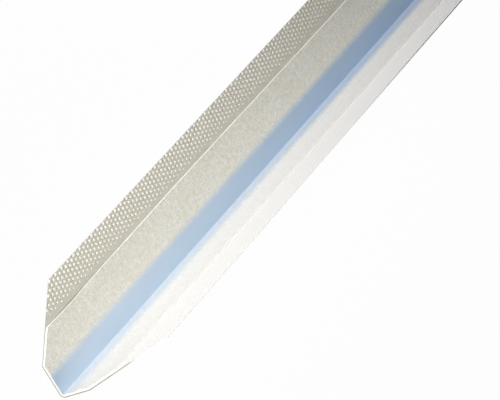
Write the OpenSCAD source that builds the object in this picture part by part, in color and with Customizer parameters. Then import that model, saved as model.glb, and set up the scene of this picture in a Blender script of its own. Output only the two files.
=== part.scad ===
// Laminated drywall corner bead: an embossed face tape folded to a right angle,
// a stiff angle band bonded inside it and a thin film strip let into the band along
// the inside corner, flush with its faces.
// The floor leg lies flat, the upright leg stands along its back edge, and the
// length runs along X. The origin is under the middle of the stick.

/* [Stick] */
// Length of the stick
stick_len = 2440; // [600:10:3050]
// Width of each leg, from the outside corner to the edge of the face tape
leg_w = 41.3; // [34:0.1:60]
// Inside radius of the fold, at the face of the film strip
fold_r = 0.6; // [0.3:0.1:3]

/* [Layers] */
// Thickness of the face tape
tape_t = 0.5; // [0.3:0.05:1]
// Thickness of the angle band
band_t = 1.1; // [0.6:0.05:2]
// Thickness of the film strip, and depth of its recess in the band
film_t = 0.2; // [0.1:0.05:0.4]
// Mean width of the angle band's two legs, from the outside corner
band_w = 26.5; // [20:0.1:31]
// Mean width of the film strip's two legs, from the inside corner
film_w = 8.6; // [5:0.1:14]
// How far the fold lies off the middle of the band and the film, so that they reach higher up
fold_offset = 1.2; // [-2:0.1:2]

/* [Clipped ends] */
// Width of the square nose on each leg, from the outside corner
nose_w = 16.5; // [10:0.5:24]
// Length that the clip takes off the outer edge of each leg, at each end
clip_len = 31; // [10:0.5:60]

/* [Hidden] */
$fn = 64;
// Thickness of the tape and the band together
wall_t = tape_t + band_t;
// Radius of the fold at the outside face of the tape
outer_r = fold_r + wall_t;
// Room that a cutting shape keeps beyond the faces that it cuts
cut_room = 1;
// Share of its own length by which the clip line runs past both its ends
clip_overrun = 0.1;

// The section inside the corner, set in from both outside faces by a depth
module corner_area(depth) {
    r = outer_r - depth;
    translate([depth, depth]) {
        translate([r, 0]) square(leg_w);
        translate([0, r]) square(leg_w);
        translate([r, r]) circle(r);
    }
}

// Section of one folded layer, with its outside face at a depth in the wall
module layer_section(depth, thickness, floor_w, upright_w) {
    difference() {
        intersection() {
            corner_area(depth);
            square([floor_w, upright_w]);
        }
        corner_area(depth + thickness);
    }
}

module tape_section() {
    layer_section(0, tape_t, leg_w, leg_w);
}

module film_section() {
    layer_section(wall_t - film_t, film_t,
        wall_t + film_w - fold_offset, wall_t + film_w + fold_offset);
}

module band_section() {
    difference() {
        layer_section(tape_t, band_t, band_w - fold_offset, band_w + fold_offset);
        film_section();
    }
}

// Area beyond the clip line at the far end of a leg: X along it, Y across it
module clip_area() {
    across = leg_w - nose_w;
    end_x = stick_len / 2 + clip_overrun * clip_len;
    edge_y = leg_w + clip_overrun * across;
    polygon([
        [end_x, nose_w - clip_overrun * across],
        [end_x, edge_y],
        [stick_len / 2 - (1 + clip_overrun) * clip_len, edge_y]
    ]);
}

// Cutting prism that clips the floor leg at its far end
module floor_clip() {
    translate([0, 0, -cut_room])
        linear_extrude(wall_t + 2 * cut_room) clip_area();
}

// Cutting prism that clips the upright leg at its far end
module upright_clip() {
    translate([0, wall_t + cut_room, 0])
        rotate([90, 0, 0])
            linear_extrude(wall_t + 2 * cut_room) clip_area();
}

// A section of the wall drawn out to the length of the stick and clipped at both ends
module stick() {
    translate([0, leg_w / 2, 0])
        mirror([0, 1, 0])
            difference() {
                rotate([90, 0, 90])
                    linear_extrude(stick_len, center = true) children();
                for (end = [0, 1]) mirror([end, 0, 0]) {
                    floor_clip();
                    upright_clip();
                }
            }
}

module face_tape() {
    color("antiquewhite") stick() tape_section();
}

module angle_band() {
    color("beige") stick() band_section();
}

module corner_film() {
    color("lightsteelblue") stick() film_section();
}

face_tape();
angle_band();
corner_film();
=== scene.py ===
"""Laminated drywall corner bead: its three layers as modelled meshes, lit as in the photograph."""

import math

import bmesh
import bpy
import numpy as np
from mathutils import Matrix, Vector, noise


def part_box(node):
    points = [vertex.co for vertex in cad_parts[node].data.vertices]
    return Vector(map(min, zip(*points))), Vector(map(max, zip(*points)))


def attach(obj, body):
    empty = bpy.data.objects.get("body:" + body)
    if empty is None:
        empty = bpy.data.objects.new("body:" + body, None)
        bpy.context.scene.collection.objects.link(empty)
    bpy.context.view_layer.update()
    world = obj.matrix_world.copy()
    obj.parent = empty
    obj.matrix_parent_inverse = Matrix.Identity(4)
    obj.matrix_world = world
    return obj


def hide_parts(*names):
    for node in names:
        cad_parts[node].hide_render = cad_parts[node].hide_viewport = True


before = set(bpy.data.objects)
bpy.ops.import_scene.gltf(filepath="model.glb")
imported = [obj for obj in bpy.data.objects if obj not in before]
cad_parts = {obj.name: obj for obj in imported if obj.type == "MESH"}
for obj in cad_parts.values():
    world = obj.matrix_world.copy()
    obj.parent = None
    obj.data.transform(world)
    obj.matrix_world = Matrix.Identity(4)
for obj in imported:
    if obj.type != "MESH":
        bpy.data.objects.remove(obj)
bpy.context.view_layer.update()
MM = 0.001

# Sizes that the frame gives: a width W runs from the outside corner, and the near end is at -END_X
TAPE_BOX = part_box("face_tape")
BAND_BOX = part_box("angle_band")
FILM_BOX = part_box("corner_film")
END_X = TAPE_BOX[1].x
BACK_Y = TAPE_BOX[1].y
LEG_W = TAPE_BOX[1].z
TAPE_T = BAND_BOX[0].z
BAND_UPRIGHT_W = BAND_BOX[1].z
BAND_FLOOR_W = BACK_Y - BAND_BOX[0].y

# Sizes of the construction that the frame's boxes don't give
FILM_T = 0.2 * MM
FOLD_R = 0.6 * MM
NOSE_W = 16.5 * MM
CLIP_LEN = 31 * MM
WALL_T = FILM_BOX[0].z + FILM_T
OUTER_R = FOLD_R + WALL_T
CLIP_SLOPE = CLIP_LEN / (LEG_W - NOSE_W)
# How far the sides of the film's recess in the band lean in
RECESS_LEAN = FILM_T / 4

# Steps of the swept meshes, and the angle in degrees above which their edges look sharp
SWEEP_STEP = 4 * MM
CLIP_ZONE = 60 * MM
FOLD_STEPS = 8
SHARP_ANGLE = 40

# Film: the width of its soft edge on the upright leg, and how far it spreads on the floor leg
FILM_FEATHER_UPRIGHT = 4.6 * MM
FILM_FLOOR_SPREAD = 2.0 * MM
FILM_UPRIGHT_W = FILM_BOX[1].z + FILM_FEATHER_UPRIGHT / 2
FILM_FLOOR_W = BACK_Y - FILM_BOX[0].y + FILM_FLOOR_SPREAD
# Rows of the film's mesh: across the soft edge, as shares of it, and the count across the floor leg
FEATHER_STEPS = (0, 0.18, 0.36, 0.54, 0.72, 0.9)
FILM_FLOOR_ROWS = 10
# Radius of the crease along the film's face
CREASE_R = 0.25 * MM
# Paleness of the film on the floor leg: all along, and the painted light that the near end adds and how
# fast
FILM_FLOOR_PALE = 0.26
FILM_END_LIT_PALE = 0.26
FILM_END_RISE = 2
# Width at which the film starts to fade out on the floor leg
FILM_FADE_W = 6.5 * MM
# Share of the fold after which the film pales towards the floor leg
FOLD_PALE_FROM = 0.375
# Length over which the film is painted lighter near the near end, for the light there
FILM_END_LEN = 330 * MM
# Length and share of the deeper blue at the very end of the film on the upright leg: painted shade at the
# tip
FILM_TIP_LEN = 13 * MM
FILM_TIP_SHADE = 0.58
# Painted highlight in a strip beside the crease on the floor leg, and painted shade in the duller strip
# beyond it near the corner
CREASE_HIGHLIGHT = 0.45
CREASE_HIGHLIGHT_W = 2.6 * MM
CREASE_HIGHLIGHT_FADE = 3.0 * MM
CREASE_SHADE_W = 1.7 * OUTER_R
CREASE_SHADE_FADE = OUTER_R

# Embossed pattern of the tape's wings: staggered six-sided dimples, smaller towards the band
DIMPLE_SIDES = 6
DIMPLE_PITCH = 5.27 * MM
DIMPLE_ROW = 1.05 * MM
DIMPLE_R_ALONG = 1.25 * MM
DIMPLE_R_ACROSS = 0.85 * MM
DIMPLE_DEPTH = 0.42 * MM
DIMPLE_FLOOR_DEPTH = 0.25 * DIMPLE_DEPTH
# Sizes of a dimple's flat bottom and of the dimples next to the band, as shares of the full size
DIMPLE_BOTTOM_SHARE = 0.48
DIMPLE_INNER_SHARE = 0.55
# How much the dimples differ in place, size and depth
DIMPLE_SEED = 7
DIMPLE_SCATTER = 0.05 * MM
DIMPLE_SIZE_RANGE = (0.93, 1.05)
DIMPLE_DEPTH_RANGE = (0.85, 1.1)
# Rows on each side, and columns in all, that are cut off again at the borders of a wing
SPARE_ROWS = 3
SPARE_COLS = 4
# Plain strip between the band's edge and the dimples, and how far the wing runs under the band
WING_MARGIN = 2.6 * MM
WING_LAP = 2.0 * MM
# Paleness of the land between the dimples: on the upright wing, and on the floor wing from end to end; the
# floor wing's is painted light, pale for the full light there and paler still where the light falls off
LAND_UPRIGHT = 0.1
LAND_FLOOR_LIT_NEAR = 0.8
LAND_FLOOR_LIT_FAR = 1.0
# The floor wing's outer edge is thin near one end, where the light is full and its painted edge shade
# faint, and thicker with darker painted shade further along
EDGE_SHADE_FROM = 180 * MM
EDGE_SHADE_TO = 320 * MM
# Width up to which a clipped end keeps its cut colour, a painted edge shade, and the width over which that
# changes
SHADED_CLIP_W = 28 * MM
SHADED_CLIP_SPREAD = 4 * MM
# How much thinner the outer edge is where its painted edge shade is faint, and over what width
EDGE_THIN = 0.28 * MM
EDGE_THIN_W = 1.2 * MM
# Height of a face's normal: below the first the face is a cut edge, above the second it lies flat
STEEP_NORMAL = 0.3
FLAT_NORMAL = 0.9999
# Distances within which a point counts as at a given width, and as on a trimming plane
SAME_PLACE = 1e-6
TRIM_GAP = 1e-7

# Cut edges of the band: bevels, and how much of the cut colour the two edges and the ends take
EDGE_BEVEL = 0.12 * MM
FLOOR_BEVEL = 0.30 * MM
BAND_CUT_SHARES = (1.0, 1.0, 0.45)
# The upright leg's edge lifts off the tape in waves, and more near one end
LIFT_REACH = 7 * MM
LIFT_STEPS = (0.12, 0.3, 0.5, 0.75, 1.0)
LIFT_BASE = 0.15 * MM
LIFT_WAVE_LEN = 22 * MM
LIFT_NEAR = 0.15 * MM
LIFT_NEAR_X = -END_X + 44 * MM
LIFT_NEAR_SPREAD = 34 * MM
# Ripples of both edges, in short and long waves
EDGE_WAVE = 0.10 * MM
EDGE_WAVE_SHORT = 9 * MM
EDGE_WAVE_LONG = 45 * MM
LONG_WAVE_SHARE = 0.8
FLOOR_WAVE_SHARE = 0.4
RIPPLE_REACH = 2 * MM
# Places in the noise field that the waves of each leg are read from
UPRIGHT_SEED = 2.0
FLOOR_SEED = 9.0
WAVE_LAYER = 0.5
# Where the upright leg's edge strays from straight: place from the near end, spread, distance
EDGE_STRAY = ((140 * MM, 85 * MM, 0.42 * MM), (22 * MM, 20 * MM, -0.60 * MM))
# Painted light: how plain the felt is made on the floor leg, for its washed-out look where the light falls
# full on it
FLOOR_LIT_PLAIN = 0.6

# White as a tint changes nothing
WHITE = (1.0, 1.0, 1.0)

# Colours of the tape
TAPE_DARK = (0.568, 0.553, 0.498)
TAPE_LIGHT = (0.68, 0.66, 0.593)
TAPE_BLOTCH = (0.96, 0.94, 0.89)
# Pale dimples, partly pressed paper and partly painted highlight; also the painted lit land of the floor
# wing
TAPE_PRESSED_AND_LIT = (0.93, 0.92, 0.875)
# Painted shade: dark on the tape under the band's edge where that edge lifts, for the shade in the gap
TAPE_LAP_SHADE = (0.47, 0.445, 0.395)
# Painted shade: dark grey on the tape's cut edges, for the shade along them
TAPE_CUT_SHADE = (0.34, 0.33, 0.31)

# Colours of the felted band
FELT_DARK = (0.735, 0.724, 0.679)
FELT_LIGHT = (0.975, 0.964, 0.912)
FELT_CLUMP = (0.88, 0.88, 0.87)
FELT_BLOTCH = (0.965, 0.955, 0.92)
# Plainer felt, painted light for the fully lit floor leg
FELT_LIT_PLAIN = (0.82, 0.808, 0.762)
FELT_CUT = (0.93, 0.925, 0.90)
# Painted shade at the foot of the band's lifted edge
FELT_LIFT_SHADE = (0.42, 0.39, 0.35)

# Colours of the film: each blue in two tones, the lighter one painted light, and the tint of the duller
# strip, painted shade
FILM_DEEP = ((0.356, 0.487, 0.672), (0.376, 0.513, 0.702))
FILM_LIT = ((0.508, 0.63, 0.787), (0.535, 0.661, 0.819))
FILM_CREASE_SHADE = (1.0, 0.97, 0.915)
# Strength of the specks in the film's soft edge
SPECK_LEVEL = 2.4

# Key lamp: a beam from beyond the near end, aimed at a place along the stick, with its cone in degrees
KEY_FROM = (-0.85, -0.40, 0.33)
KEY_ALONG = 0.11
KEY_DISTANCE = 1.8
KEY_RADIUS = 0.09
KEY_CONE = 12
KEY_BLEND = 1.0
KEY_LEVEL = 1.25
KEY_COLOR = (1.0, 0.985, 0.90)

# Bluish lamp over the near end
SKY_FROM = (0, -0.05, 1.0)
SKY_ALONG = 0.04
SKY_DISTANCE = 0.50
SKY_SIZE = 0.24
SKY_LEVEL = 0.62
SKY_COLOR = (0.86, 0.868, 1.0)

# Beam on the stretch beyond the key's, and the soft lamps along the rest of the stick
FRONT_FROM = (0, -0.4, 0.92)
MIDDLE_ALONG = 0.715
MIDDLE_DISTANCE = 0.90
MIDDLE_RADIUS = 0.03
MIDDLE_CONE = 42
MIDDLE_BLEND = 0.4
MIDDLE_LEVEL = 0.40
REST_COUNT = 3
REST_ALONG = 1.15
REST_STEP = 0.55
REST_DISTANCE = 0.60
REST_SIZE = 0.40
REST_LEVEL = 0.62

# Soft lamps behind the stick, as many as there are in front
BEHIND_FROM = (0, 0.87, 0.50)
BEHIND_ALONG = 0.40
BEHIND_STEP = 0.82
BEHIND_DISTANCE = 0.90
BEHIND_SIZE = 0.50
BEHIND_LEVEL = 0.44

# Floor: its own grey, how much white the camera sees over it, its half width and its height
FLOOR_COLOR = (0.5, 0.5, 0.5)
FLOOR_WHITE = 0.975
FLOOR_HALF = 6.0
FLOOR_Z = -0.02 * MM
# Level of the world's light on the object
WORLD_LEVEL = 0.025

# Camera of the photograph: the width of its frame and the focal length in pixels, and the sensor in mm
PHOTO_W = 500
FOCAL_PX = 4200
SENSOR_W = 36
# How far the camera sees, its place, and its right and up directions
CAMERA_REACH = 50
CAMERA_AT = Vector((-2.428, -1.178, 0.5095))
CAMERA_RIGHT = Vector((0.4559, -0.7374, -0.4983))
CAMERA_UP = Vector((0.5146, -0.2385, 0.8236))


# Shared helpers
def smooth(t):
    """Smooth step of t from 0 to 1."""
    t = min(1.0, max(0.0, t))
    return t * t * (3 - 2 * t)


def bell(x, middle, spread):
    """1 at the middle, falling off smoothly to 0 on both sides."""
    return math.exp(-((x - middle) / spread) ** 2)


def wave(x, length, seed):
    """Smooth noise along the stick, from -1 to 1."""
    return noise.noise(Vector((x / length, seed, WAVE_LAYER)))


def clip_limit(w):
    """Largest |x| of a leg at a distance w from the outside corner."""
    return END_X - max(0.0, w - NOSE_W) * CLIP_SLOPE


def clipped_x(x, w):
    """x drawn back near the ends, so that the end of the mesh follows the clip line."""
    start = END_X - CLIP_ZONE
    if abs(x) <= start:
        return x
    share = (abs(x) - start) / CLIP_ZONE
    return math.copysign(start + share * (clip_limit(w) - start), x)


def even_stations(step):
    """Places along the stick from end to end, about a step apart."""
    n = round(2 * END_X / step)
    return [-END_X + 2 * END_X * i / n for i in range(n + 1)]


def fold_path(depth, upright, floor, radius=None):
    """Section points (a, b) of a folded face at a depth: a across the floor, b up.

    upright and floor list the distances from the outside corner along each leg.
    """
    r = radius or OUTER_R - depth
    turn = [math.pi + math.pi / 2 * i / FOLD_STEPS for i in range(FOLD_STEPS + 1)]
    arc = [(depth + r + r * math.cos(t), depth + r + r * math.sin(t)) for t in turn]
    return [(depth, w) for w in upright] + arc + [(w, depth) for w in reversed(floor)]


def link_piece(name, mesh, material):
    """Puts a mesh in the scene as an object with a material."""
    mesh.materials.append(material)
    piece = bpy.data.objects.new(name, mesh)
    bpy.context.scene.collection.objects.link(piece)
    return piece


def mesh_object(name, verts, faces, material):
    """A new object in the scene from points and faces."""
    mesh = bpy.data.meshes.new(name)
    mesh.from_pydata(verts, [], faces)
    mesh.validate()
    return link_piece(name, mesh, material)


def set_values(mesh, name, domain, values):
    """Stores one number for each point or face of a mesh, for its material to read."""
    mesh.attributes.new(name, "FLOAT", domain).data.foreach_set("value", values)


def close_and_shade(piece):
    """Turns all faces outwards and shades the piece smooth but for its sharp edges."""
    bm = bmesh.new()
    bm.from_mesh(piece.data)
    bmesh.ops.recalc_face_normals(bm, faces=bm.faces)
    bm.to_mesh(piece.data)
    bm.free()
    piece.data.shade_smooth()
    piece.data.set_sharp_from_angle(angle=math.radians(SHARP_ANGLE))


def sweep_faces(count, spans, cut_shares):
    """Faces of a swept sheet with count points on each path, and each one's share of the cut colour."""
    ring = 2 * count
    sheet = []
    cut = []
    shares = []
    for here in range(0, spans * ring, ring):
        there = here + ring
        for i in range(count - 1):
            sheet.append((here + i, here + i + 1, there + i + 1, there + i))
            j = i + count
            sheet.append((here + j, there + j, there + j + 1, here + j + 1))
        for i, share in ((0, cut_shares[0]), (count - 1, cut_shares[1])):
            cut.append((here + i, there + i, there + i + count, here + i + count))
            shares.append(share)
    for base in (0, spans * ring):
        for i in range(count - 1):
            cut.append((base + i, base + i + 1, base + i + 1 + count, base + i + count))
            shares.append(cut_shares[2])
    return sheet + cut, [0.0] * len(sheet) + shares


def sweep(name, front, back, stations, material, shift=None, cut_shares=(1.0, 1.0, 1.0)):
    """A folded sheet between two section paths of equal length, swept along the stick.

    shift(x, a, b) gives the change of a section point at x; cut_shares says how much of
    the cut colour the upright leg's edge, the floor leg's edge and the ends take.
    """
    verts = []
    for x in stations:
        for a, b in front + back:
            da, db = shift(x, a, b) if shift else (0.0, 0.0)
            verts.append((clipped_x(x, max(a, b)), BACK_Y - a - da, b + db))
    faces, shares = sweep_faces(len(front), len(stations) - 1, cut_shares)
    piece = mesh_object(name, verts, faces, material)
    set_values(piece.data, "cut", "FACE", shares)
    close_and_shade(piece)
    return piece


def place_piece(piece, node):
    """Hides the node that a piece stands for; all pieces ride on the one body."""
    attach(piece, "root")
    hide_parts(node)


# Materials
def node_material(name, roughness, specular):
    """A new material with its node tree and shader."""
    mat = bpy.data.materials.new(name)
    mat.use_nodes = True
    tree = mat.node_tree
    bsdf = tree.nodes["Principled BSDF"]
    bsdf.inputs["Roughness"].default_value = roughness
    bsdf.inputs["Specular IOR Level"].default_value = specular
    return mat, tree, bsdf


def add_noise(tree, scale, detail, roughness=0.6, stretch=(1, 1, 1)):
    """Noise from 0 to 1 in the object's own coordinates; a larger scale is finer."""
    coords = tree.nodes.new("ShaderNodeTexCoord")
    mapping = tree.nodes.new("ShaderNodeMapping")
    mapping.inputs["Scale"].default_value = stretch
    tex = tree.nodes.new("ShaderNodeTexNoise")
    tex.inputs["Scale"].default_value = scale
    tex.inputs["Detail"].default_value = detail
    tex.inputs["Roughness"].default_value = roughness
    tree.links.new(coords.outputs["Object"], mapping.inputs["Vector"])
    tree.links.new(mapping.outputs["Vector"], tex.inputs["Vector"])
    return tex.outputs["Fac"]


def add_ramp(tree, value, low_color, high_color, low=0.3, high=0.7):
    """A colour that runs from one to another between two values."""
    ramp = tree.nodes.new("ShaderNodeValToRGB")
    first, last = ramp.color_ramp.elements
    first.position = low
    first.color = (*low_color, 1)
    last.position = high
    last.color = (*high_color, 1)
    tree.links.new(value, ramp.inputs["Fac"])
    return ramp.outputs["Color"]


def add_value(tree, name):
    """A number that the mesh stores for the material."""
    node = tree.nodes.new("ShaderNodeAttribute")
    node.attribute_name = name
    return node.outputs["Fac"]


def add_math(tree, operation, a, b):
    """The result of a math operation on two numbers or outputs."""
    node = tree.nodes.new("ShaderNodeMath")
    node.operation = operation
    for socket, value in zip(node.inputs, (a, b)):
        if isinstance(value, float):
            socket.default_value = value
        else:
            tree.links.new(value, socket)
    return node.outputs[0]


def mix_colors(tree, factor, a, b, blend="MIX"):
    """Two colours or outputs mixed by a factor, which is a number or an output."""
    mix = tree.nodes.new("ShaderNodeMix")
    mix.data_type = "RGBA"
    mix.blend_type = blend
    if isinstance(factor, float):
        mix.inputs["Factor"].default_value = factor
    else:
        tree.links.new(factor, mix.inputs["Factor"])
    for socket, value in (("A", a), ("B", b)):
        target = [s for s in mix.inputs if s.name == socket and s.type == "RGBA"][0]
        if isinstance(value, tuple):
            target.default_value = (*value, 1)
        else:
            tree.links.new(value, target)
    return [s for s in mix.outputs if s.type == "RGBA"][0]


def add_bump(tree, bsdf, height, distance):
    """Fine relief of a surface, as deep as a distance."""
    bump = tree.nodes.new("ShaderNodeBump")
    bump.inputs["Distance"].default_value = distance
    bump.inputs["Strength"].default_value = 1.0
    tree.links.new(height, bump.inputs["Height"])
    tree.links.new(bump.outputs["Normal"], bsdf.inputs["Normal"])


def paper_material():
    """Matt cream tape paper with faint fibres and blotches."""
    mat, tree, bsdf = node_material("tape_paper", roughness=0.85, specular=0.25)
    fibres = add_noise(tree, scale=1500, detail=4, stretch=(0.45, 1, 1))
    blotch = add_noise(tree, scale=160, detail=3)
    fine = add_ramp(tree, fibres, TAPE_DARK, TAPE_LIGHT)
    broad = add_ramp(tree, blotch, TAPE_BLOTCH, WHITE)
    color = mix_colors(tree, 1.0, fine, broad, "MULTIPLY")
    # The dimples are paler, partly pressed paper and partly painted highlight, and the floor wing's land is
    # painted light
    color = mix_colors(tree, add_value(tree, "pressed_and_lit_pale"), color, TAPE_PRESSED_AND_LIT)
    # Painted shade on the tape under the band's lifted edge
    color = mix_colors(tree, add_value(tree, "lap_shade"), color, TAPE_LAP_SHADE)
    # Cut edges take a dark grey: painted shade along them
    color = mix_colors(tree, add_value(tree, "cut"), color, TAPE_CUT_SHADE)
    tree.links.new(color, bsdf.inputs["Base Color"])
    add_bump(tree, bsdf, fibres, distance=0.03 * MM)
    return mat


def felt_color(tree):
    """Mottled cream of the felted board, and the pattern of its fibres."""
    fibres = add_noise(tree, scale=1100, detail=5, roughness=0.7)
    clumps = add_noise(tree, scale=420, detail=4)
    blotch = add_noise(tree, scale=70, detail=3)
    fine = add_ramp(tree, fibres, FELT_DARK, FELT_LIGHT, low=0.35, high=0.65)
    middle = add_ramp(tree, clumps, FELT_CLUMP, WHITE, low=0.37, high=0.63)
    broad = add_ramp(tree, blotch, FELT_BLOTCH, WHITE)
    color = mix_colors(tree, 1.0, fine, middle, "MULTIPLY")
    return mix_colors(tree, 1.0, color, broad, "MULTIPLY"), fibres


def felt_material():
    """Matt cream felted board: mottled fibres over soft blotches."""
    mat, tree, bsdf = node_material("felted_board", roughness=0.95, specular=0.15)
    color, fibres = felt_color(tree)
    # Painted light: the floor leg's felt is made plainer, washed out by the full light
    color = mix_colors(tree, add_value(tree, "lit_plain"), color, FELT_LIT_PLAIN)
    color = mix_colors(tree, add_value(tree, "cut"), color, FELT_CUT)
    # Painted shade at the foot of the band's edge where it has come loose
    color = mix_colors(tree, add_value(tree, "lift_shade"), color, FELT_LIFT_SHADE)
    tree.links.new(color, bsdf.inputs["Base Color"])
    add_bump(tree, bsdf, fibres, distance=0.05 * MM)
    return mat


def film_material():
    """Smooth pale blue film, with painted light near one end; the felt shows through where it feathers out.
    """
    mat, tree, bsdf = node_material("blue_film", roughness=0.42, specular=0.4)
    streaks = add_noise(tree, scale=120, detail=3, stretch=(0.15, 1, 1))
    deep = add_ramp(tree, streaks, FILM_DEEP[0], FILM_DEEP[1])
    light = add_ramp(tree, streaks, FILM_LIT[0], FILM_LIT[1])
    # Painted light: lighter blue near the near end and beside the crease, less at the very tip
    blue = mix_colors(tree, add_value(tree, "painted_light"), deep, light)
    pale = add_value(tree, "pale")
    # The soft edge is speckled where it is neither blue nor felt
    soft = add_math(tree, "MULTIPLY", pale, add_math(tree, "SUBTRACT", 1.0, pale))
    specks = add_math(tree, "SUBTRACT", add_noise(tree, scale=500, detail=3), 0.5)
    specks = add_math(tree, "MULTIPLY", add_math(tree, "MULTIPLY", specks, SPECK_LEVEL), soft)
    pale = add_math(tree, "ADD", pale, specks)
    color = mix_colors(tree, pale, blue, felt_color(tree)[0])
    # Painted shade: the film near the corner on the floor leg is dulled for the shade there
    crease_shade = mix_colors(tree, 1.0, color, FILM_CREASE_SHADE, "MULTIPLY")
    color = mix_colors(tree, add_value(tree, "crease_shade"), color, crease_shade)
    tree.links.new(color, bsdf.inputs["Base Color"])
    ripple = add_noise(tree, scale=300, detail=2, stretch=(0.2, 1, 1))
    add_bump(tree, bsdf, ripple, distance=0.01 * MM)
    return mat


# Tape
def tape_fold(material):
    """The plain middle of the tape, round the fold and under the band."""
    upright = [BAND_UPRIGHT_W - WING_LAP, NOSE_W]
    floor = [BAND_FLOOR_W - WING_LAP, NOSE_W]
    front = fold_path(TAPE_T, upright, floor)
    back = fold_path(0, upright, floor)
    stations = [-END_X, CLIP_ZONE - END_X, END_X - CLIP_ZONE, END_X]
    place_piece(sweep("tape_fold", front, back, stations, material), "face_tape")


def dimple_points(rows, cols, first_w, deepest, land_pale):
    """Points (x, w, depth below the face) and paleness of a field of staggered dimples.

    Each dimple has a flat bottom and a wider rim at the level of the face.
    """
    rng = np.random.default_rng(DIMPLE_SEED)
    row, col = np.mgrid[0:rows, 0:cols]
    # Every other row lies half a pitch further along
    stagger = (row % 2 - 0.5) / 2
    x = (col - (cols - 1) / 2 + stagger) * DIMPLE_PITCH
    w = first_w + (row - SPARE_ROWS) * DIMPLE_ROW
    x = x + rng.uniform(-1, 1, x.shape) * DIMPLE_SCATTER
    share = np.clip((w - first_w) / (LEG_W - first_w), 0, 1)
    size = DIMPLE_INNER_SHARE + (1 - DIMPLE_INNER_SHARE) * np.sqrt(share)
    size = size * rng.uniform(*DIMPLE_SIZE_RANGE, x.shape)
    depth = deepest * size * rng.uniform(*DIMPLE_DEPTH_RANGE, x.shape) * (row >= SPARE_ROWS)
    points = []
    for ring, drop in ((DIMPLE_BOTTOM_SHARE, 1.0), (1.0, 0.0)):
        for k in range(DIMPLE_SIDES):
            a = 2 * math.pi * k / DIMPLE_SIDES
            along = DIMPLE_R_ALONG * size * ring * math.cos(a)
            across = DIMPLE_R_ACROSS * size * ring * math.sin(a)
            points.append((x + along, w + across, depth * drop))
    verts = np.stack([np.stack(p, -1) for p in points], 2).reshape(-1, 3)
    pressed_and_lit_pale = np.ones((rows * cols, len(points)))
    pressed_and_lit_pale[:, DIMPLE_SIDES:] = np.array([[land_pale(v)] for v in x.ravel()])
    return verts, pressed_and_lit_pale.ravel()


def dimple_faces(rows, cols):
    """Faces of the dimples, and of the flat land that joins the rims of neighbours."""

    def bottom(row, col, k):
        """Number of a point of a dimple's bottom."""
        return (row * cols + col) * 2 * DIMPLE_SIDES + k

    def rim(row, col, k):
        """Number of a point of a dimple's rim."""
        return bottom(row, col, DIMPLE_SIDES + k)

    faces = []
    for row in range(rows):
        for col in range(cols):
            here = (row, col)
            faces.append([bottom(*here, k) for k in range(DIMPLE_SIDES)])
            for k in range(DIMPLE_SIDES):
                m = (k + 1) % DIMPLE_SIDES
                faces.append((bottom(*here, k), rim(*here, k), rim(*here, m), bottom(*here, m)))
            right = (row + 1, col + row % 2)
            above = (row + 2, col)
            left = (row + 1, col + row % 2 - 1)
            inside = [r < rows and 0 <= c < cols for r, c in (right, above, left)]
            if inside[0]:
                faces.append((rim(*here, 0), rim(*right, 4), rim(*right, 3), rim(*here, 1)))
            if inside[1]:
                faces.append((rim(*here, 1), rim(*above, 5), rim(*above, 4), rim(*here, 2)))
            if inside[2]:
                faces.append((rim(*here, 2), rim(*left, 0), rim(*left, 5), rim(*here, 3)))
            if inside[0] and inside[1]:
                faces.append((rim(*here, 1), rim(*right, 3), rim(*above, 5)))
            if inside[1] and inside[2]:
                faces.append((rim(*here, 2), rim(*above, 4), rim(*left, 0)))
    return faces


def trim(bm, point, outward):
    """Cuts away what lies beyond a plane."""
    geom = bm.verts[:] + bm.edges[:] + bm.faces[:]
    bmesh.ops.bisect_plane(bm, geom=geom, dist=TRIM_GAP, plane_co=point, plane_no=outward, clear_outer=True)


def extrude(bm, edges):
    """Doubles some open edges, with faces between; returns the new vertices and edges."""
    grown = bmesh.ops.extrude_edge_only(bm, edges=edges)["geom"]
    verts = [g for g in grown if isinstance(g, bmesh.types.BMVert)]
    return verts, [g for g in grown if isinstance(g, bmesh.types.BMEdge)]


def border_at(edges, w):
    """Those of some edges that are open and run along the stick at a distance w."""
    return [e for e in edges if e.is_boundary and all(abs(v.co.y - w) < SAME_PLACE for v in e.verts)]


def wing_sheet(name, band_edge, deepest, land_pale):
    """The dimpled face of a wing as a flat open sheet of points (x, w, height over the outside face)."""
    first_w = band_edge + WING_MARGIN
    start_w = first_w - DIMPLE_ROW / 2
    rows = math.ceil((LEG_W - first_w) / DIMPLE_ROW) + 2 * SPARE_ROWS
    cols = math.ceil(2 * END_X / DIMPLE_PITCH) + SPARE_COLS
    verts, pressed_and_lit_pale = dimple_points(rows, cols, first_w, deepest, land_pale)
    verts[:, 2] = TAPE_T - verts[:, 2]
    mesh = bpy.data.meshes.new(name)
    mesh.from_pydata(verts, [], dimple_faces(rows, cols))
    set_values(mesh, "pressed_and_lit_pale", "POINT", pressed_and_lit_pale)
    bm = bmesh.new()
    bm.from_mesh(mesh)
    trim(bm, (0, start_w, 0), (0, -1, 0))
    trim(bm, (0, LEG_W, 0), (0, 1, 0))
    rim = border_at(bm.edges, start_w)
    for to_w in (band_edge, band_edge - WING_LAP):
        new_verts, new_edges = extrude(bm, rim)
        for v in new_verts:
            v.co.y = to_w
        rim = border_at(new_edges, to_w)
    for side in (-1, 1):
        trim(bm, (side * clip_limit(LEG_W), LEG_W, 0), (side, CLIP_SLOPE, 0))
    return mesh, bm


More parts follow.
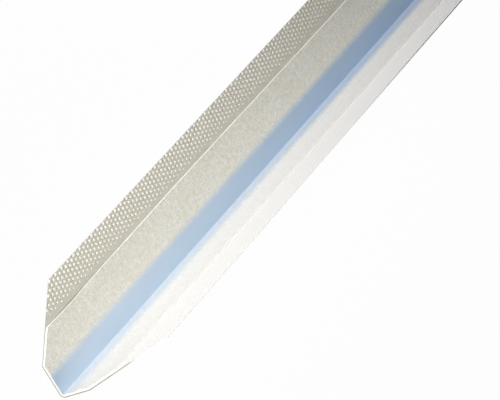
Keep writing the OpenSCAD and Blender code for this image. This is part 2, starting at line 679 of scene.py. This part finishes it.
def close_wing(bm, land_pale, edge_shade):
    """Gives a flat wing its edges, down to the outside face, and that face."""
    new_verts = extrude(bm, [e for e in bm.edges if e.is_boundary])[0]
    pressed_and_lit_pale = bm.verts.layers.float["pressed_and_lit_pale"]
    for v in new_verts:
        v.co.z = 0
        # Painted shade: an edge's lower points lose their paleness where the edge takes its painted shade
        v[pressed_and_lit_pale] = land_pale(v.co.x) * (1 - edge_shade(v.co.x))
    bmesh.ops.holes_fill(bm, edges=[e for e in bm.edges if e.is_boundary], sides=0)
    bm.normal_update()


def mark_wing(bm, band_edge, edge_shade):
    """Marks a flat wing's cut edges, and the painted shade under the band's lifted edge, for the material,
    and its sharp edges.
    """
    cut = bm.faces.layers.float.new("cut")
    lap_shade = bm.faces.layers.float.new("lap_shade")
    for f in bm.faces:
        f.smooth = True
        middle = f.calc_center_median()
        if abs(f.normal.z) < STEEP_NORMAL:
            f[cut] = max(edge_shade(middle.x), 1 - smooth((middle.y - SHADED_CLIP_W) / SHADED_CLIP_SPREAD))
        # Painted shade under the band's edge, where it lifts
        if middle.y < band_edge:
            f[lap_shade] = near_lift(middle.x)
    for e in bm.edges:
        flat = [abs(f.normal.z) > FLAT_NORMAL for f in e.link_faces]
        e.smooth = all(flat) or not any(flat)


def stand_wing(bm, to_world, edge_shade):
    """Thins a flat wing's outer edge where its painted edge shade is faint, and stands the wing in its
    place.
    """
    for v in bm.verts:
        if v.co.z > 0:
            outer = smooth((v.co.y - LEG_W + EDGE_THIN_W) / EDGE_THIN_W)
            v.co.z -= EDGE_THIN * outer * (1 - edge_shade(v.co.x))
        v.co = to_world(*v.co)
    bmesh.ops.recalc_face_normals(bm, faces=bm.faces)


def wing(name, band_edge, to_world, material, deepest, land_pale, edge_shade):
    """One dimpled wing of the tape, from under the band's edge to the outer edge of the leg.

    It is built flat, and to_world(x, w, height) then gives each point's place. land_pale(x) is
    the paleness of its land, and edge_shade(x) how much of the cut colour, a painted edge shade, its outer
    edge takes.
    """
    mesh, bm = wing_sheet(name, band_edge, deepest, land_pale)
    close_wing(bm, land_pale, edge_shade)
    mark_wing(bm, band_edge, edge_shade)
    stand_wing(bm, to_world, edge_shade)
    bm.to_mesh(mesh)
    bm.free()
    place_piece(link_piece(name, mesh, material), "face_tape")


def upright_place(x, w, height):
    """Place of a point of the flat upright wing."""
    return x, BACK_Y - height, w


def upright_land(x):
    """Paleness of the upright wing's land, the same all along."""
    return LAND_UPRIGHT


def upright_edge_shade(x):
    """Share of the cut colour, a painted edge shade, on the upright wing's outer edge, the same all along.
    """
    return 1.0


def floor_place(x, w, height):
    """Place of a point of the flat floor wing."""
    return x, BACK_Y - w, height


def floor_land_lit(x):
    """Painted light: paleness of the floor wing's land along the stick, rising where the light falls off.
    """
    return LAND_FLOOR_LIT_NEAR + (LAND_FLOOR_LIT_FAR - LAND_FLOOR_LIT_NEAR) * floor_edge_shade(x)


def floor_edge_shade(x):
    """How much of the cut colour, a painted edge shade, the floor wing's outer edge takes along the stick:
    little at the fully lit near end.
    """
    return smooth((x + END_X - EDGE_SHADE_FROM) / (EDGE_SHADE_TO - EDGE_SHADE_FROM))


# Band
def near_lift(x):
    """Share of the lift where the upright leg's edge has come loose near one end."""
    return bell(x, LIFT_NEAR_X, LIFT_NEAR_SPREAD)


def edge_ripple(x, seed):
    """Ripple of one cut edge of the band, in short and long waves."""
    short = wave(x, EDGE_WAVE_SHORT, seed + 1)
    return EDGE_WAVE * (short + LONG_WAVE_SHARE * wave(x, EDGE_WAVE_LONG, seed + 2))


def band_shift(x, a, b):
    """Waves and lift of the band's cut edges."""
    upright = b > a
    w = max(a, b)
    edge = BAND_UPRIGHT_W if upright else BAND_FLOOR_W
    at_edge = smooth((w - edge + RIPPLE_REACH) / RIPPLE_REACH)
    if not upright:
        return FLOOR_WAVE_SHARE * edge_ripple(x, FLOOR_SEED) * at_edge, 0.0
    ripple = edge_ripple(x, UPRIGHT_SEED)
    ripple += sum(stray * bell(x, place - END_X, spread) for place, spread, stray in EDGE_STRAY)
    lift = LIFT_BASE * (1 + wave(x, LIFT_WAVE_LEN, UPRIGHT_SEED)) + LIFT_NEAR * near_lift(x)
    return lift * smooth((w - edge + LIFT_REACH) / LIFT_REACH), ripple * at_edge


def leg_points(edge, bevel, film_edge):
    """Distances across one leg of the band, from its cut edge to the fold."""
    lift = [edge - LIFT_REACH * s for s in LIFT_STEPS]
    return [edge, edge - bevel] + lift + [NOSE_W, film_edge]


def band(material):
    """The felted band, with a recess for the film and waves along its cut edges."""
    upright = leg_points(BAND_UPRIGHT_W, EDGE_BEVEL, FILM_UPRIGHT_W)
    floor = leg_points(BAND_FLOOR_W, FLOOR_BEVEL, FILM_FLOOR_W)
    recess_upright = [FILM_UPRIGHT_W - RECESS_LEAN]
    recess_floor = [FILM_FLOOR_W - RECESS_LEAN]
    inner = fold_path(WALL_T - FILM_T, recess_upright, recess_floor)
    outer = fold_path(WALL_T, upright, floor)
    front = outer[:len(upright)] + inner + outer[-len(floor):]
    back = fold_path(TAPE_T, upright + recess_upright, floor + recess_floor)
    front[0] = (front[0][0] - EDGE_BEVEL, front[0][1])
    front[-1] = (front[-1][0], front[-1][1] - FLOOR_BEVEL)
    back[0] = (back[0][0] + EDGE_BEVEL, back[0][1])
    stations = even_stations(SWEEP_STEP)
    piece = sweep("felt_band", front, back, stations, material, band_shift, BAND_CUT_SHARES)
    # Painted shade: the foot of the upright edge is darkened where it has come loose, for the shade in the
    # gap under it
    lift_shade = [0.0] * len(piece.data.vertices)
    for k, x in enumerate(stations):
        lift_shade[(2 * k + 1) * len(front)] = near_lift(x)
    set_values(piece.data, "lift_shade", "POINT", lift_shade)
    lit_plain = [FLOOR_LIT_PLAIN if a > b else 0.0 for a, b in front + back]
    set_values(piece.data, "lit_plain", "POINT", lit_plain * len(stations))
    place_piece(piece, "angle_band")


# Film
def film(material):
    """The blue film in the band's recess, with a sharper crease on its face."""
    upright = [FILM_UPRIGHT_W - t * FILM_FEATHER_UPRIGHT for t in FEATHER_STEPS]
    floor_share = [i / FILM_FLOOR_ROWS for i in range(FILM_FLOOR_ROWS)]
    floor = [FILM_FLOOR_W - s * (FILM_FLOOR_W - OUTER_R) for s in floor_share]
    front = fold_path(WALL_T, upright, floor, CREASE_R)
    back = fold_path(WALL_T - FILM_T, upright, floor)
    stations = even_stations(SWEEP_STEP)
    piece = sweep("blue_film", front, back, stations, material)
    mark_film(piece.data, floor[::-1], stations)
    place_piece(piece, "corner_film")


def mark_film(mesh, outwards, stations):
    """Marks for the material how pale the film is at each point, and where it takes painted light and
    painted shade.

    Across each section the points run down the upright leg, round the fold and then along
    the floor leg, at the widths that outwards lists.
    """
    feather = [1 - smooth(t) for t in FEATHER_STEPS]
    fold = [i / FOLD_STEPS for i in range(FOLD_STEPS + 1)]
    turn = [smooth((t - FOLD_PALE_FROM) / (1 - FOLD_PALE_FROM)) for t in fold]
    fade = [max(0.0, (w - FILM_FADE_W) / (FILM_FLOOR_W - FILM_FADE_W)) for w in outwards]
    # Painted shade in a strip near the corner on the floor leg
    crease_shade = [0.0] * (len(feather) + len(turn))
    crease_shade += [smooth((w - CREASE_SHADE_W) / CREASE_SHADE_FADE) * (1 - f) for w, f in zip(outwards, fade)]
    light = [CREASE_HIGHLIGHT * t for t in turn]
    light += [CREASE_HIGHLIGHT * (1 - smooth((w - CREASE_HIGHLIGHT_W) / CREASE_HIGHLIGHT_FADE)) for w in outwards]
    pale = []
    painted_light = []
    for x in stations:
        along = x + END_X
        end_share = 1 - smooth(along / FILM_END_LEN)
        tip_share = end_share * (1 - FILM_TIP_SHADE * bell(along, 0, FILM_TIP_LEN))
        fold_pale = FILM_FLOOR_PALE + FILM_END_LIT_PALE * smooth(FILM_END_RISE * end_share)
        pale_row = feather + [fold_pale * t for t in turn]
        pale_row += [fold_pale + (1 - fold_pale) * f for f in fade]
        # Painted light near the near end, painted shade at the tip, and a painted highlight beside the
        # crease
        near_row = [tip_share] * len(feather) + [end_share + (1 - end_share) * t for t in light]
        pale += pale_row * 2
        painted_light += near_row * 2
    set_values(mesh, "pale", "POINT", pale)
    set_values(mesh, "painted_light", "POINT", painted_light)
    set_values(mesh, "crease_shade", "POINT", crease_shade * 2 * len(stations))


# Stage
def make_camera():
    """The camera at the photograph's viewing angle."""
    data = bpy.data.cameras.new("camera")
    data.sensor_width = SENSOR_W
    data.lens = FOCAL_PX * SENSOR_W / PHOTO_W
    data.clip_end = CAMERA_REACH
    camera = bpy.data.objects.new("camera", data)
    right = CAMERA_RIGHT.normalized()
    back = right.cross(CAMERA_UP).normalized()
    turn = Matrix((right, back.cross(right), back)).transposed().to_4x4()
    camera.matrix_world = Matrix.Translation(CAMERA_AT) @ turn
    bpy.context.scene.collection.objects.link(camera)
    bpy.context.scene.camera = camera


def camera_sees(tree):
    """1 for the rays that show the background: camera, glossy and transmission rays."""
    path = tree.nodes.new("ShaderNodeLightPath")
    total = path.outputs["Is Camera Ray"]
    for ray in ("Is Glossy Ray", "Is Transmission Ray"):
        total = add_math(tree, "MAXIMUM", total, path.outputs[ray])
    return total


def mix_shaders(tree, output, share, lit, seen):
    """Sends to the output a lit shader, covered by a share of one that is only seen."""
    mix = tree.nodes.new("ShaderNodeMixShader")
    out = tree.nodes.new(output)
    tree.links.new(share, mix.inputs["Fac"])
    tree.links.new(lit.outputs[0], mix.inputs[1])
    tree.links.new(seen.outputs[0], mix.inputs[2])
    tree.links.new(mix.outputs[0], out.inputs["Surface"])


def make_floor():
    """A pale floor that the camera sees as nearly white, with the object's shadow on it."""
    mat = bpy.data.materials.new("floor")
    mat.use_nodes = True
    tree = mat.node_tree
    tree.nodes.clear()
    lit = tree.nodes.new("ShaderNodeBsdfDiffuse")
    lit.inputs["Color"].default_value = (*FLOOR_COLOR, 1)
    seen = tree.nodes.new("ShaderNodeEmission")
    share = add_math(tree, "MULTIPLY", camera_sees(tree), FLOOR_WHITE)
    mix_shaders(tree, "ShaderNodeOutputMaterial", share, lit, seen)
    signs = ((-1, -1), (1, -1), (1, 1), (-1, 1))
    corners = [(x * FLOOR_HALF, y * FLOOR_HALF, FLOOR_Z) for x, y in signs]
    floor = mesh_object("floor", corners, [(0, 1, 2, 3)], mat)


def make_world():
    """A world that is white to the camera and lights the object only faintly."""
    world = bpy.data.worlds.new("world")
    world.use_nodes = True
    bpy.context.scene.world = world
    tree = world.node_tree
    tree.nodes.clear()
    lit = tree.nodes.new("ShaderNodeBackground")
    lit.inputs["Strength"].default_value = WORLD_LEVEL
    seen = tree.nodes.new("ShaderNodeBackground")
    seen.inputs["Strength"].default_value = 1.0
    mix_shaders(tree, "ShaderNodeOutputWorld", camera_sees(tree), lit, seen)


def lamp_over(kind, name, along, direction, distance):
    """A lamp aimed at the fold, at a distance along the stick from the near end."""
    data = bpy.data.lights.new(name, kind)
    lamp = bpy.data.objects.new(name, data)
    aim = Vector((along - END_X, BACK_Y, 0))
    lamp.location = aim + Vector(direction).normalized() * distance
    lamp.rotation_euler = (aim - lamp.location).to_track_quat("-Z", "Y").to_euler()
    bpy.context.scene.collection.objects.link(lamp)
    return data


def beam_lamp(name, along, direction, distance, radius, level, cone, blend):
    """A beam that gives a white face turned to it a brightness of about level in its middle."""
    data = lamp_over("SPOT", name, along, direction, distance)
    data.shadow_soft_size = radius
    data.energy = level * (2 * math.pi * distance) ** 2
    data.spot_size = math.radians(cone)
    data.spot_blend = blend
    return data


def soft_lamp(name, along, direction, distance, size, level):
    """A disk lamp that gives a white face turned to it a brightness of about level."""
    data = lamp_over("AREA", name, along, direction, distance)
    data.shape = "DISK"
    data.size = size
    data.energy = level * (math.pi * distance) ** 2
    return data


def make_lights():
    """A soft-edged key beam and a bluish lamp on the near end, and lamps along the whole stick."""
    key = beam_lamp("key", KEY_ALONG, KEY_FROM, KEY_DISTANCE, KEY_RADIUS, KEY_LEVEL, KEY_CONE, KEY_BLEND)
    key.color = KEY_COLOR
    sky = soft_lamp("sky", SKY_ALONG, SKY_FROM, SKY_DISTANCE, SKY_SIZE, SKY_LEVEL)
    sky.color = SKY_COLOR
    beam_lamp("middle", MIDDLE_ALONG, FRONT_FROM, MIDDLE_DISTANCE, MIDDLE_RADIUS, MIDDLE_LEVEL,
              MIDDLE_CONE, MIDDLE_BLEND)
    for i in range(REST_COUNT):
        rest_along = REST_ALONG + REST_STEP * i
        soft_lamp(f"rest_{i}", rest_along, FRONT_FROM, REST_DISTANCE, REST_SIZE, REST_LEVEL)
        behind_along = BEHIND_ALONG + BEHIND_STEP * i
        soft_lamp(f"behind_{i}", behind_along, BEHIND_FROM, BEHIND_DISTANCE, BEHIND_SIZE, BEHIND_LEVEL)


make_camera()
paper = paper_material()
tape_fold(paper)
wing("tape_wing_upright", BAND_UPRIGHT_W, upright_place, paper, DIMPLE_DEPTH,
     upright_land, upright_edge_shade)
wing("tape_wing_floor", BAND_FLOOR_W, floor_place, paper, DIMPLE_FLOOR_DEPTH,
     floor_land_lit, floor_edge_shade)
band(felt_material())
film(film_material())
make_floor()
make_world()
make_lights()
bpy.context.scene.view_settings.view_transform = "Standard"
